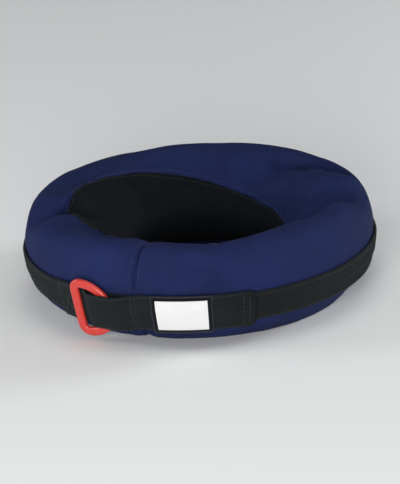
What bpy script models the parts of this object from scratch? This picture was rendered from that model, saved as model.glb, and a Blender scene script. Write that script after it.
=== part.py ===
"""Inflatable protective ring collar for a pet, at rest on its underside. Metres, Z up, front at -Y.

The cover is a hollow cloth ring. Its section is a table of stations, and a table of folds pushes the
surface in or out at named places. Every strip that lies on the ring takes its place from that surface.
"""

import math

import bpy
from mathutils import Matrix, Vector

# Sizes of the ring
COVER_WIDTH = 0.314  # outer diameter of the cloth cover under the band
RING_HEIGHT = 0.0915  # floor to crest
NECK_WIDTH = 0.132  # clear diameter of the neck hole
NECK_SHIFT = 0.007  # the neck hole sits this far towards +X
CLOTH = 0.0016  # wall of the cover
GAP = 0.0003  # clearance between pieces that touch
SEAM_SWAY = 0.022  # the rim seam runs higher on the slope at the left, and lower at the right
SWAY_REACH = 0.040  # length along the section over which the cloth follows the seam

# Sizes of the strips on the ring
BAND_HEIGHT = 0.029
BAND_THICK = 0.0028
STRAP_WIDTH = 0.036
STRAP_THICK = 0.0020
STRAP_STIFF = 0.4  # share by which the webbing stays straight across its width
STRAP_TAIL = 0.027  # sewn end of the strap, to the left of the ring's bar
STRAP_TAKE = 0.165  # length of strap from the ring's bar to its free end
BACKING_LENGTH = 0.053
BACKING_HEIGHT = 0.0355
BACKING_THICK = 0.0010
PATCH_LENGTH = 0.0455
PATCH_HEIGHT = 0.0290
PATCH_THICK = 0.0010
PATCH_TAKE = 0.100  # from the ring's bar to the middle of the patch

# Sizes of the plastic ring
RING_ANGLE = -43.2  # degrees from the front to the middle of the bar, + to the right
RING_REACH = 0.034  # middle of the bar to middle of the bow
RING_WIDE = 0.0088
RING_THICK = 0.0050
RING_CORNER = 0.0070
STRAP_PLAY = 0.0035  # room above and below the strap inside the ring
STRAP_RISE = 0.0110  # length over which the strap climbs onto the bow
STRAP_FALL = 0.0260  # length over which it comes down again

SEGMENTS = 76

# The section of the cover, from the seam under the band up over the crest, down to the neck and back
# below. across is a share of the wall from neck to outer edge, up is a share of RING_HEIGHT.
SECTION = [
    # name, across, up
    ("outer_seam", 0.980, 0.390),
    ("equator", 1.000, 0.505),
    ("upper_side", 0.985, 0.680),
    ("shoulder", 0.925, 0.845),
    ("upper_shoulder", 0.825, 0.955),
    ("crest", 0.700, 1.000),
    ("inner_crest", 0.590, 0.982),
    ("upper_slope", 0.480, 0.915),
    ("middle_slope", 0.390, 0.840),
    ("rim_seam", 0.300, 0.765),
    ("lower_slope", 0.155, 0.650),
    ("neck_edge", 0.040, 0.545),
    ("neck", 0.000, 0.440),
    ("neck_base", 0.040, 0.330),
    ("under_slope", 0.165, 0.205),
    ("under_seam", 0.330, 0.080),
    ("under_rise", 0.460, 0.015),
    ("rest_inner", 0.560, 0.000),
    ("rest_outer", 0.690, 0.000),
    ("under_edge", 0.805, 0.068),
    ("lower_side", 0.893, 0.172),
    ("band_foot", 0.945, 0.280),
]

# Folds, dents and fullness of the inflated cover. Angles are in degrees from the front, + to the right.
# reach is the half angle. depth is a share of RING_HEIGHT, and a negative one pushes the cloth out.
FOLDS = [
    # name, angle, reach, from station, to station, depth
    ("left_pinch", -84, 10, "upper_side", "lower_slope", 0.060),
    ("left_pinch_core", -86, 6, "upper_shoulder", "rim_seam", 0.060),
    ("left_pinch_lip", -101, 10, "shoulder", "lower_slope", -0.035),
    ("right_pinch", 82, 9, "shoulder", "lower_slope", 0.060),
    ("right_pinch_lip", 68, 9, "shoulder", "rim_seam", -0.025),
    ("chin_dent", -2, 26, "upper_side", "rim_seam", 0.045),
    ("right_fullness", 40, 28, "upper_side", "rim_seam", -0.035),
    ("slit_crease", -23.5, 5, "band_edge", "middle_slope", 0.030),
    ("front_dimple", 10, 9, "band_edge", "shoulder", 0.035),
    ("ridge_outer", 99, 11, "upper_shoulder", "rim_seam", -0.065),
    ("ridge_middle", 114, 12, "crest", "lower_slope", -0.065),
    ("ridge_inner", 130, 13, "inner_crest", "neck_edge", -0.050),
    ("ridge_valley", 127, 13, "upper_shoulder", "middle_slope", 0.070),
    ("rear_left_fullness", -128, 42, "upper_side", "inner_crest", -0.035),
    ("under_tuck_right", 58, 50, "rest_outer", "band_lower_edge", 0.060),
    ("rear_left_fold", -138, 9, "crest", "neck_edge", 0.045),
    ("rear_left_lip", -124, 9, "inner_crest", "neck_edge", -0.025),
    ("neck_gather_a", -42, 10, "rim_seam", "neck", 0.035),
    ("neck_gather_b", 26, 10, "rim_seam", "neck", 0.035),
    ("neck_gather_c", 178, 12, "rim_seam", "neck", 0.030),
]

COVER_RADIUS = COVER_WIDTH / 2
NECK_RADIUS = NECK_WIDTH / 2
WALL_ACROSS = COVER_RADIUS - NECK_RADIUS


def clear_scene():
    for item in list(bpy.data.objects):
        bpy.data.objects.remove(item, do_unlink=True)


def section_lengths():
    """Arc length of each station from the outer seam, and the whole girth."""
    places = []
    total = 0.0
    for index, row in enumerate(SECTION):
        places.append(total)
        nxt = SECTION[(index + 1) % len(SECTION)]
        total += math.hypot((nxt[1] - row[1]) * WALL_ACROSS, (nxt[2] - row[2]) * RING_HEIGHT)
    return places, total


PLACES, GIRTH = section_lengths()
STATION = {row[0]: PLACES[index] for index, row in enumerate(SECTION)}
STATION["band_edge"] = BAND_HEIGHT / 2
STATION["band_lower_edge"] = GIRTH - BAND_HEIGHT / 2


def on_section(place):
    """(distance from the neck wall, height) of the smooth section at an arc length, flat where it rests."""
    place = place % GIRTH
    index = max(i for i, start in enumerate(PLACES) if start <= place + 1e-12)
    count = len(SECTION)
    span = (PLACES[index + 1] if index + 1 < count else GIRTH) - PLACES[index]
    t = (place - PLACES[index]) / span
    rows = [SECTION[(index + k) % count] for k in (-1, 0, 1, 2)]
    spans = []
    for first, second in zip(rows, rows[1:]):
        across = (second[1] - first[1]) * WALL_ACROSS
        spans.append(math.hypot(across, (second[2] - first[2]) * RING_HEIGHT))
    found = []
    for column, size in ((1, WALL_ACROSS), (2, RING_HEIGHT)):
        p = [row[column] * size for row in rows]
        slope_a = (p[2] - p[0]) / (spans[0] + spans[1]) * span
        slope_b = (p[3] - p[1]) / (spans[1] + spans[2]) * span
        a = 2 * t**3 - 3 * t**2 + 1
        b = t**3 - 2 * t**2 + t
        c = -2 * t**3 + 3 * t**2
        d = t**3 - t**2
        found.append(a * p[1] + b * slope_a + c * p[2] + d * slope_b)
    across, up = found
    if rows[1][0] == "rest_inner":
        up = 0.0
    return across, max(0.0, up)


def bump(distance, reach):
    """1 in the middle, easing to 0 at the reach."""
    if abs(distance) >= reach:
        return 0.0
    return 0.5 + 0.5 * math.cos(math.pi * distance / reach)


def fold_depth(angle, place):
    """How far the folds push the surface inwards at an angle (radians) and a place on the section."""
    depth = 0.0
    degrees = math.degrees(angle)
    place = place % GIRTH
    for _, middle, reach, start, end, share in FOLDS:
        turn = (degrees - middle + 180) % 360 - 180
        centre = (STATION[start] + STATION[end]) / 2
        half = (STATION[end] - STATION[start]) / 2
        depth += share * RING_HEIGHT * bump(turn, reach) * bump(place - centre, half)
    return depth


def swayed(angle, place):
    """A place on the section moved along with the rim seam, which doesn't run level round the slope."""
    return place + SEAM_SWAY * math.sin(angle) * bump(place - STATION["rim_seam"], SWAY_REACH)


def section_normal(place):
    """Outward normal of the section, as (across, up)."""
    step = 0.0004
    back = on_section(place - step)
    on = on_section(place + step)
    along = (on[0] - back[0], on[1] - back[1])
    size = math.hypot(*along)
    return along[1] / size, -along[0] / size


def surface(angle, place, lift=0.0):
    """A point of the ring: angle from the front, place on the section, lift above the cloth."""
    across, up = on_section(place)
    out, rise = section_normal(place)
    push = lift - fold_depth(angle, place)
    radius = NECK_RADIUS + across + out * push
    shift = NECK_SHIFT * (1.0 - across / WALL_ACROSS)
    return Vector((radius * math.sin(angle) + shift, -radius * math.cos(angle), up + rise * push))


def new_object(name, verts, faces, colour, roughness, smooth_angle=40.0):
    mesh = bpy.data.meshes.new(name)
    mesh.from_pydata([tuple(v) for v in verts], [], faces)
    mesh.validate()
    obj = bpy.data.objects.new(name, mesh)
    COLLAR.objects.link(obj)
    material = bpy.data.materials.new(name + "_material")
    material.use_nodes = True
    shader = material.node_tree.nodes["Principled BSDF"]
    shader.inputs["Base Color"].default_value = (*colour, 1.0)
    shader.inputs["Roughness"].default_value = roughness
    mesh.materials.append(material)
    mesh.shade_smooth()
    mesh.set_sharp_from_angle(angle=math.radians(smooth_angle))
    return obj


def grid_faces(rows, columns, wraps, first=0, flip=False):
    """Faces of a grid of points, outward where its rows go up and its columns go round to the right."""
    faces = []
    for row in range(rows - 1):
        for column in range(columns if wraps else columns - 1):
            nxt = (column + 1) % columns
            a = first + row * columns + column
            b = first + row * columns + nxt
            face = (a, b, b + columns, a + columns)
            faces.append(face[::-1] if flip else face)
    return faces


def wall_faces(rows, columns, wraps):
    """Faces of a closed wall: an outer grid, an inner grid behind it, and the edges between them."""
    inner = rows * columns
    faces = grid_faces(rows, columns, wraps)
    faces += grid_faces(rows, columns, wraps, inner, True)
    for column in range(columns if wraps else columns - 1):
        nxt = (column + 1) % columns
        faces.append((nxt, column, inner + column, inner + nxt))
        top = (rows - 1) * columns
        faces.append((top + column, top + nxt, inner + top + nxt, inner + top + column))
    if not wraps:
        for row in range(rows - 1):
            a = row * columns
            b = a + columns
            faces.append((a, b, inner + b, inner + a))
            a += columns - 1
            b += columns - 1
            faces.append((b, a, inner + a, inner + b))
    return faces


def ring_panel(name, places, lift, wall, colour):
    """A cloth panel all the way round, through the given places on the section, going up the outside."""
    verts = []
    for height in (lift, lift - wall):
        for place in places:
            for index in range(SEGMENTS):
                angle = 2 * math.pi * index / SEGMENTS
                verts.append(surface(angle, swayed(angle, place), height))
    return new_object(name, verts, wall_faces(len(places), SEGMENTS, True), colour, 0.85)


# Rows of the band, from its lower edge to its upper one, which the cover under it shares
BAND_PLACES = [BAND_HEIGHT * share for share in (-0.5, -0.25, 0.0, 0.25, 0.5)]


def stations_between(first, last):
    """Places of the rows from one station to another, with the two ends drawn in by half the gap."""
    start = STATION[first]
    end = STATION[last] if last != "outer_seam" else GIRTH
    edge = BAND_PLACES[-1] * 1.12
    rows = [place for place in PLACES if edge < place < GIRTH - edge]
    rows += [place % GIRTH for place in BAND_PLACES if place]
    places = [start + GAP / 2]
    places += sorted(place for place in rows if start < place < end)
    places.append(end - GAP / 2)
    return places


BAND_LIFT = GAP + BAND_THICK
BAND_RADIUS = NECK_RADIUS + SECTION[0][1] * WALL_ACROSS + BAND_LIFT

# Places along the band, as arc lengths from the front, + to the right
RING_PLACE = math.radians(RING_ANGLE) * BAND_RADIUS
STRAP_START = RING_PLACE - STRAP_TAIL
STRAP_END = RING_PLACE + STRAP_TAKE
PATCH_PLACE = RING_PLACE + PATCH_TAKE


def on_band(arc, height, lift, flat=0.0):
    """A point over the band: arc length from the front, height up its face, lift above its outer face."""
    angle = arc / BAND_RADIUS
    bent = surface(angle, height, BAND_LIFT + lift)
    if flat <= 0.0:
        return bent
    middle = surface(angle, 0.0, BAND_LIFT + lift)
    up = (surface(angle, 0.001, BAND_LIFT) - surface(angle, -0.001, BAND_LIFT)).normalized()
    return bent.lerp(middle + up * height, flat)


def strip(name, arcs, half_heights, rows, lift_of, flat_of, wall, colour, roughness=0.85):
    """A strip of webbing or cloth over the band, through the given arc lengths."""
    verts = []
    for height in (wall, 0.0):
        for row in range(rows):
            share = 2 * row / (rows - 1) - 1
            for arc, half in zip(arcs, half_heights):
                verts.append(on_band(arc, share * half, lift_of(arc) + height, flat_of(arc)))
    return new_object(name, verts, wall_faces(rows, len(arcs), False), colour, roughness)


def spread(start, end, step):
    count = max(2, math.ceil((end - start) / step) + 1)
    return [start + (end - start) * index / (count - 1) for index in range(count)]


def ease(value, start, end):
    t = min(1.0, max(0.0, (value - start) / (end - start)))
    return t * t * (3 - 2 * t)


# The bar lies over the strap, and the bow lies on the band under it
BAR_LIFT = GAP + STRAP_THICK + GAP
BOW_LIFT = GAP + 0.0002
OVER_BOW = BOW_LIFT + RING_THICK + 2 * GAP
CLIMB_START = RING_PLACE + RING_WIDE / 2 + GAP
CLIMB_END = CLIMB_START + STRAP_RISE
FALL_START = RING_PLACE + RING_REACH + RING_WIDE / 2
FALL_END = FALL_START + STRAP_FALL


def strap_lift(arc):
    over = ease(arc, CLIMB_START, CLIMB_END) * (1.0 - ease(arc, FALL_START, FALL_END))
    return GAP + (OVER_BOW - GAP) * over


def strap_flat(arc):
    over = ease(arc, CLIMB_START, CLIMB_END) * (1.0 - ease(arc, FALL_START, FALL_END))
    return STRAP_STIFF + (1.0 - STRAP_STIFF) * over


def build_strap():
    arcs = spread(STRAP_START, CLIMB_START, 0.008)[:-1]
    arcs += spread(CLIMB_START, CLIMB_END, 0.0022)[:-1]
    arcs += spread(CLIMB_END, FALL_START, 0.006)[:-1]
    arcs += spread(FALL_START, FALL_END, 0.0045)[:-1]
    arcs += spread(FALL_END, STRAP_END, 0.008)
    corner = 0.12 * STRAP_WIDTH
    arcs.insert(len(arcs) - 1, STRAP_END - corner)
    arcs.sort()
    halves = [STRAP_WIDTH / 2] * len(arcs)
    halves[-1] = STRAP_WIDTH / 2 - corner * 0.6
    return strip(
        "closure_strap", arcs, halves, 5, strap_lift, strap_flat, STRAP_THICK, (0.016, 0.021, 0.024)
    )


def build_label():
    middle = PATCH_PLACE
    on_strap = GAP + STRAP_THICK + GAP

    def backing_lift(arc):
        return max(on_strap, strap_lift(arc) + STRAP_THICK + GAP)

    def patch_lift(arc):
        return backing_lift(arc) + BACKING_THICK + GAP

    sizes = (
        ("label_backing", BACKING_LENGTH, BACKING_HEIGHT, backing_lift, BACKING_THICK, (0.005, 0.006, 0.01)),
        ("label_patch", PATCH_LENGTH, PATCH_HEIGHT, patch_lift, PATCH_THICK, (0.85, 0.85, 0.84)),
    )
    for name, length, height, lift_of, wall, colour in sizes:
        arcs = spread(middle - length / 2, middle + length / 2, 0.007)
        halves = [height / 2] * len(arcs)
        strip(name, arcs, halves, 5, lift_of, strap_flat, wall, colour)


def build_d_ring():
    """The plastic ring: a straight bar with rounded corners and a bowed side, swept with a rounded bar."""
    half = STRAP_WIDTH / 2 + STRAP_PLAY + RING_WIDE / 2
    corner = RING_CORNER
    line = []
    for index in range(5):
        turn = math.radians(180 - 90 * index / 4)
        line.append((corner + corner * math.cos(turn), half - corner + corner * math.sin(turn)))
    for index in range(1, 16):
        turn = math.radians(90 - 180 * index / 16)
        line.append((corner + (RING_REACH - corner) * math.cos(turn), half * math.sin(turn)))
    for index in range(5):
        turn = math.radians(-90 - 90 * index / 4)
        line.append((corner + corner * math.cos(turn), -half + corner + corner * math.sin(turn)))
    # Outline of the bar's section: wide in the ring's plane, thick across it, with rounded edges
    outline = []
    for index in range(12):
        turn = 2 * math.pi * (index + 0.5) / 12
        wide = math.copysign(abs(math.cos(turn)) ** 0.6, math.cos(turn)) * RING_WIDE / 2
        thick = math.copysign(abs(math.sin(turn)) ** 0.6, math.sin(turn)) * RING_THICK / 2
        outline.append((wide, thick))
    verts = []
    count = len(line)
    for index, (x, y) in enumerate(line):
        before = Vector(line[index - 1])
        after = Vector(line[(index + 1) % count])
        along = (after - before).normalized()
        side = Vector((-along.y, along.x))
        for wide, thick in outline:
            verts.append((x + side.x * wide, y + side.y * wide, thick))
    faces = []
    sides = len(outline)
    for index in range(count):
        nxt = (index + 1) % count
        for k in range(sides):
            m = (k + 1) % sides
            faces.append((index * sides + k, index * sides + m, nxt * sides + m, nxt * sides + k))
    obj = new_object("d_ring", verts, faces, (0.62, 0.055, 0.04), 0.4)
    bar = on_band(RING_PLACE, 0.0, BAR_LIFT + RING_THICK / 2)
    bow = on_band(RING_PLACE + RING_REACH, 0.0, BOW_LIFT + RING_THICK / 2)
    along = (bow - bar).normalized()
    angle = (RING_PLACE + RING_REACH / 2) / BAND_RADIUS
    up = (surface(angle, 0.001) - surface(angle, -0.001)).normalized()
    outward = along.cross(up).normalized()
    up = outward.cross(along)
    frame = Matrix((along, up, outward)).transposed().to_4x4()
    frame.translation = bar
    obj.matrix_world = frame
    return obj


def rest_at_origin():
    """Moves the whole collar so that the middle of its box, at floor level, is the origin."""
    bpy.context.view_layer.update()
    graph = bpy.context.evaluated_depsgraph_get()
    low = Vector((1e9, 1e9, 1e9))
    high = -low
    for obj in COLLAR.objects:
        shown = obj.evaluated_get(graph)
        mesh = shown.to_mesh()
        for vertex in mesh.vertices:
            place = shown.matrix_world @ vertex.co
            low = Vector(map(min, low, place))
            high = Vector(map(max, high, place))
        shown.to_mesh_clear()
    middle = Vector(((low.x + high.x) / 2, (low.y + high.y) / 2, low.z))
    for obj in COLLAR.objects:
        obj.matrix_world = Matrix.Translation(-middle) @ obj.matrix_world
    bpy.context.view_layer.update()


clear_scene()
COLLAR = bpy.data.collections.new("inflatable_collar")
bpy.context.scene.collection.children.link(COLLAR)

NAVY = (0.022, 0.032, 0.105)
CHARCOAL = (0.016, 0.021, 0.024)

ring_panel("cover_top", stations_between("outer_seam", "rim_seam"), 0.0, CLOTH, NAVY)
ring_panel("neck_wall", stations_between("rim_seam", "under_seam"), 0.0, CLOTH, CHARCOAL)
ring_panel("cover_bottom", stations_between("under_seam", "outer_seam"), 0.0, CLOTH, NAVY)
ring_panel("perimeter_band", BAND_PLACES, BAND_LIFT, BAND_THICK, CHARCOAL)
build_strap()
build_label()
build_d_ring()
rest_at_origin()
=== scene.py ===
# %% [markdown]
# A soft ring collar that is blown up and worn round the neck.
# This lesson dresses the measured model of the collar in cloth, webbing and plastic.
# The measured model comes first, because every piece made here takes its place from it.

# %% Load the measured model
import math

import bpy
import numpy as np
from mathutils import Matrix, Vector, noise


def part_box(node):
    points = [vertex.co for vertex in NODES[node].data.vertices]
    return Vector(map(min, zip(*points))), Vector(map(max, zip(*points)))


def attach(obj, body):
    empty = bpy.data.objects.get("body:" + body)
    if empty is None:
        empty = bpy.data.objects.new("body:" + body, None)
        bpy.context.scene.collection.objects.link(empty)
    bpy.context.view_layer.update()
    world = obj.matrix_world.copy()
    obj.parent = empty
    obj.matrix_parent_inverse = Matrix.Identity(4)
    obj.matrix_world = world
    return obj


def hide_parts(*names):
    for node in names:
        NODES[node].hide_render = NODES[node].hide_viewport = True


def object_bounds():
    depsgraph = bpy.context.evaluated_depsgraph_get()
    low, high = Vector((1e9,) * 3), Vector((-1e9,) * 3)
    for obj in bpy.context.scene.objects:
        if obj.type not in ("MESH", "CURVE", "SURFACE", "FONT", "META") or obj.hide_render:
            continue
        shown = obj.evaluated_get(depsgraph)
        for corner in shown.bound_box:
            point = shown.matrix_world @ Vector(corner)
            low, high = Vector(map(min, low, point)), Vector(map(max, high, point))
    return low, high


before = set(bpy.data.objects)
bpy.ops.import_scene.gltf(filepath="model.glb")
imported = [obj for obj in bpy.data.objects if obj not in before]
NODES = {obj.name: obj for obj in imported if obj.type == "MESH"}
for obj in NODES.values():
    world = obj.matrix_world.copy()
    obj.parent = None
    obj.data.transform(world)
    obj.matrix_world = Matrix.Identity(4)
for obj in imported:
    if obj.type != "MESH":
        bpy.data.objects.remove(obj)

CAD_LOW, CAD_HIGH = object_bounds()
print("nodes:", sorted(NODES))
print("box from", tuple(round(v, 4) for v in CAD_LOW), "to", tuple(round(v, 4) for v in CAD_HIGH))

# %% [markdown]
# The picture was taken with a long lens, from about 20 degrees above the floor, and the camera was
# held a little crooked, so that the right side of the collar stands higher than the left.
# A lens of 700 mm keeps the ring as round as the picture shows it. The camera is built from three
# directions, which is easier to read than three turns.

# %% Camera
ELEVATION = math.radians(20.5)
ROLL = math.radians(3.3)
LENS = 700
SHOWN_WIDTH = 0.362  # metres across the picture
PICTURE = (400, 484)
AIM = Vector((0.0, 0.0, 0.0445))


def make_camera():
    data = bpy.data.cameras.new("camera")
    data.lens = LENS
    data.sensor_width = 36
    camera = bpy.data.objects.new("camera", data)
    bpy.context.scene.collection.objects.link(camera)
    back = Vector((0, -math.cos(ELEVATION), math.sin(ELEVATION)))
    level = Vector((1, 0, 0))
    upright = back.cross(level)
    right = level * math.cos(ROLL) - upright * math.sin(ROLL)
    up = level * math.sin(ROLL) + upright * math.cos(ROLL)
    far = SHOWN_WIDTH * PICTURE[1] / PICTURE[0] * LENS / data.sensor_width
    place = AIM + back * far
    camera.matrix_world = Matrix((
        (right.x, up.x, back.x, place.x),
        (right.y, up.y, back.y, place.y),
        (right.z, up.z, back.z, place.z),
        (0, 0, 0, 1),
    ))
    data.clip_end = 60
    bpy.context.scene.camera = camera
    print("camera", round(far, 2), "m away")


make_camera()

# %% [markdown]
# A plain pale floor and large soft lamps, as in a small studio. Dark cloth shows its form by the
# light that grazes it, so one lamp stands low in front and a weak one hangs above. A smaller lamp
# at each side edges the dark band against the floor.

# %% Floor and lights
def shader_material(name, **values):
    """A new material whose main shader has these plain values."""
    material = bpy.data.materials.new(name)
    material.use_nodes = True
    shader = material.node_tree.nodes["Principled BSDF"]
    for socket, value in values.items():
        shader.inputs[socket.replace("_", " ")].default_value = value
    return material


def deselect():
    for item in bpy.context.selected_objects:
        item.select_set(False)


def soft_lamp(name, place, size, power, colour=(1, 1, 1)):
    lamp = bpy.data.lights.new(name, "AREA")
    lamp.shape = "DISK"
    lamp.size = size
    lamp.energy = power
    lamp.color = colour
    item = bpy.data.objects.new(name, lamp)
    bpy.context.scene.collection.objects.link(item)
    item.location = place
    item.rotation_euler = (Vector(place) - AIM).to_track_quat("Z", "Y").to_euler()
    item.visible_camera = False
    return item


deselect()
bpy.ops.mesh.primitive_plane_add(size=24, location=(0, 0, -0.0002))
floor = bpy.context.object
floor.name = "floor"
floor.data.materials.append(shader_material("floor_paper", Base_Color=(0.86, 0.86, 0.85, 1), Roughness=0.9))

soft_lamp("front_lamp", (-0.35, -2.2, 0.50), 1.1, 51)
soft_lamp("top_lamp", (0.2, -0.1, 2.3), 1.8, 11)
soft_lamp("left_lamp", (-1.8, 0.1, 0.55), 0.8, 13, (0.90, 0.95, 1.0))
soft_lamp("right_lamp", (1.8, 0.5, 0.60), 0.7, 19, (0.90, 0.95, 1.0))

world = bpy.data.worlds.new("studio")
bpy.context.scene.world = world
world.use_nodes = True
world.node_tree.nodes["Background"].inputs["Color"].default_value = (0.95, 0.96, 0.98, 1)
world.node_tree.nodes["Background"].inputs["Strength"].default_value = 0.19
bpy.context.scene.view_settings.view_transform = "Standard"
print("floor and 4 lamps")

# %% [markdown]
# Finishes are written as sums on sockets. Wire holds one output socket of a node and turns a sum
# in Python into Math nodes. Finish is a material with its main shader, and one method that adds
# any other node. Numbers that are the same all over a piece go straight onto the shader.

# %% Tools for finishes
class Wire:
    """An output socket that can be used in a sum."""

    def __init__(self, finish, socket):
        self.finish = finish
        self.socket = socket

    def sum(self, operation, first, second=None):
        values = {0: first} if second is None else {0: first, 1: second}
        return self.finish.node("ShaderNodeMath", {"operation": operation}, values)

    def __add__(self, other):
        return self.sum("ADD", self, other)

    def __sub__(self, other):
        return self.sum("SUBTRACT", self, other)

    def __rsub__(self, other):
        return self.sum("SUBTRACT", other, self)

    def __mul__(self, other):
        return self.sum("MULTIPLY", self, other)

    def __pow__(self, other):
        return self.sum("POWER", self, other)

    def __gt__(self, other):
        return self.sum("GREATER_THAN", self, other)

    def size(self):
        return self.sum("ABSOLUTE", self)

    def sine(self):
        return self.sum("SINE", self)

    __radd__ = __add__
    __rmul__ = __mul__


class Finish:
    """A material with its main shader, and a method that adds nodes to it."""

    def __init__(self, name, **values):
        self.material = shader_material(name, **values)
        self.tree = self.material.node_tree
        self.shader = self.tree.nodes["Principled BSDF"]

    def node(self, kind, settings=None, values=None, output=0):
        made = self.tree.nodes.new(kind)
        for setting, value in (settings or {}).items():
            if setting == "stops":
                ramp = made.color_ramp
                while len(ramp.elements) < len(value):
                    ramp.elements.new(0.5)
                for stop, (place, tone) in zip(ramp.elements, value):
                    stop.position = place
                    stop.color = (tone, tone, tone, 1)
            else:
                setattr(made, setting, value)
        for socket, value in (values or {}).items():
            if isinstance(value, Wire):
                self.tree.links.new(value.socket, made.inputs[socket])
            else:
                made.inputs[socket].default_value = value
        return Wire(self, made.outputs[output])

    def place(self):
        return self.node("ShaderNodeTexCoord", output="Object")

    def cloth_place(self):
        """Across and along the cloth in metres, from the piece's own map."""
        cloth_map = self.node("ShaderNodeUVMap", {"uv_map": "weave"})
        parts = self.node("ShaderNodeSeparateXYZ", {}, {0: cloth_map})
        return parts, Wire(self, parts.socket.node.outputs[1])

    def cloud(self, scale, detail=2.0, rough=0.5, vector=None):
        values = {"Scale": scale, "Detail": detail, "Roughness": rough, "Vector": vector or self.place()}
        return self.node("ShaderNodeTexNoise", {}, values)

    def ramp(self, wire, *stops):
        return self.node("ShaderNodeValToRGB", {"stops": stops}, {0: wire})

    def mix(self, share, first, second):
        """One colour turning into another."""
        values = {0: share, 6: first, 7: second}
        return self.node("ShaderNodeMix", {"data_type": "RGBA"}, values, 2)

    def bump(self, height, depth, strength=1.0, under=None):
        values = {"Height": height, "Distance": depth, "Strength": strength}
        if under:
            values["Normal"] = under
        return self.node("ShaderNodeBump", {}, values)

    def feed(self, **wires):
        for socket, wire in wires.items():
            self.tree.links.new(wire.socket, self.shader.inputs[socket.replace("_", " ")])
        return self.material


# %% [markdown]
# The cover is woven nylon. Its threads cross over and under each other about every half
# millimetre. The weave follows the map of the piece, so it lies on the cloth as it was cut.
# Nylon has a little sheen, its colour is never quite even, and it pales where it is rubbed. Shade is painted into
# the gaps between the threads.

# %% Woven nylon
def weave(finish, pitch):
    """Height of a plain weave, and a mask of the threads that run up and down."""
    across, along = finish.cloth_place()
    first = (across * (math.pi / pitch)).sine()
    second = (along * (math.pi / pitch)).sine()
    over = (first * second) > 0.0
    wide = (first.size() ** 0.75) * (second.size() ** 0.3)
    tall = (first.size() ** 0.3) * (second.size() ** 0.75)
    return over * wide + (1.0 - over) * tall, over


def woven_nylon(name, dark, light, worn, pitch=0.00085, sheen=0.08):
    finish = Finish(
        name, Sheen_Weight=sheen, Sheen_Roughness=0.4, Sheen_Tint=(*light[:3], 1),
        Specular_IOR_Level=0.10,
    )
    height, over = weave(finish, pitch)
    patches = finish.cloud(14, 3, 0.6)
    streaks = finish.cloud(260, 2, 0.6)
    share = finish.ramp(patches * 0.75 + streaks * 0.25, (0.30, 0.0), (0.72, 1.0))
    cloth = finish.mix(share, dark, light)
    # Painted shade: the colour turns darker in the gaps between the threads, where the weave is low. Threads of one
    # direction are also a little darker in tone.
    gap_shade = (dark[0] * 0.4, dark[1] * 0.4, dark[2] * 0.45, 1)
    threads_and_gap_shade = finish.mix(over * 0.22 + (1.0 - height) * 0.30, cloth, gap_shade)
    wear = finish.cloud(38, 5, 0.7) * 0.6 + finish.cloud(700, 2, 0.5) * 0.4
    rubbed = finish.ramp(wear, (0.56, 0.0), (0.74, 0.35))
    colour = finish.mix(rubbed, threads_and_gap_shade, worn)
    slack = finish.bump(finish.cloud(120, 3, 0.55), 0.0012, 0.35)
    return finish.feed(
        Base_Color=colour,
        Roughness=0.70 + patches * 0.16 - over * 0.05,
        Normal=finish.bump(height, 0.00022, 0.8, slack),
    )


NAVY = woven_nylon("navy_nylon", (0.0090, 0.0150, 0.062, 1), (0.0140, 0.0235, 0.096, 1), (0.028, 0.043, 0.142, 1))
CHARCOAL = woven_nylon(
    "charcoal_nylon", (0.0022, 0.0036, 0.0056, 1), (0.0050, 0.0075, 0.0105, 1), (0.013, 0.018, 0.024, 1), sheen=0.03
)
print("nylon finishes ready")

# %% [markdown]
# Webbing is a much heavier weave: thick cords side by side along its length, held by thin cross
# threads. The cords are modelled, and the finish adds the slanting twist on them and a painted shade in the grooves
# between them.

# %% Webbing, edging, patch, thread and plastic
def ribbed_webbing(name, dark, light, pitch=0.0011):
    finish = Finish(name, Sheen_Weight=0.03, Sheen_Roughness=0.45, Specular_IOR_Level=0.10)
    along, across = finish.cloth_place()
    slant = ((along + across * 0.6) * (math.pi / pitch)).sine().size()
    cross = (across * (math.pi / pitch)).sine().size()
    height = slant ** 0.6 * 0.7 + cross * 0.3
    patches = finish.cloud(30, 3, 0.6)
    fuzz = finish.cloud(900, 2, 0.6)
    share = finish.ramp(patches * 0.6 + fuzz * 0.4, (0.32, 0.0), (0.70, 1.0))
    cloth = finish.mix(share, dark, light)
    # Painted shade: the colour is darkened in the grooves between the cords and along the twist.
    colour = finish.mix((1.0 - height) * 0.55, cloth, (dark[0] * 0.35, dark[1] * 0.35, dark[2] * 0.35, 1))
    return finish.feed(
        Base_Color=colour,
        Roughness=0.70 + patches * 0.18,
        Normal=finish.bump(height, 0.00030, 0.85, finish.bump(fuzz, 0.0002, 0.4)),
    )


def plain_thread(name, dark, light, twist=1400):
    finish = Finish(name, Sheen_Weight=0.08, Specular_IOR_Level=0.18)
    grain = finish.cloud(twist, 2, 0.5)
    return finish.feed(
        Base_Color=finish.mix(grain, dark, light), Roughness=0.45 + grain * 0.2,
        Normal=finish.bump(grain, 0.0002, 0.6),
    )


def white_patch_cloth():
    finish = Finish("white_patch_cloth", Sheen_Weight=0.1, Specular_IOR_Level=0.3)
    height, over = weave(finish, 0.00055)
    soil = finish.ramp(finish.cloud(45, 4, 0.6), (0.35, 0.0), (0.80, 0.5))
    # Painted shade: the white turns greyer in the gaps between the threads, where the weave is low. Threads of one
    # direction are also a little greyer in tone.
    weave_with_gap_shade = finish.mix(over * 0.12 + (1.0 - height) * 0.18, (0.66, 0.66, 0.655, 1), (0.50, 0.50, 0.495, 1))
    return finish.feed(
        Base_Color=finish.mix(soil, weave_with_gap_shade, (0.57, 0.565, 0.550, 1)),
        Roughness=0.66 + soil * 0.1,
        Normal=finish.bump(height, 0.00012, 0.7),
    )


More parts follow.
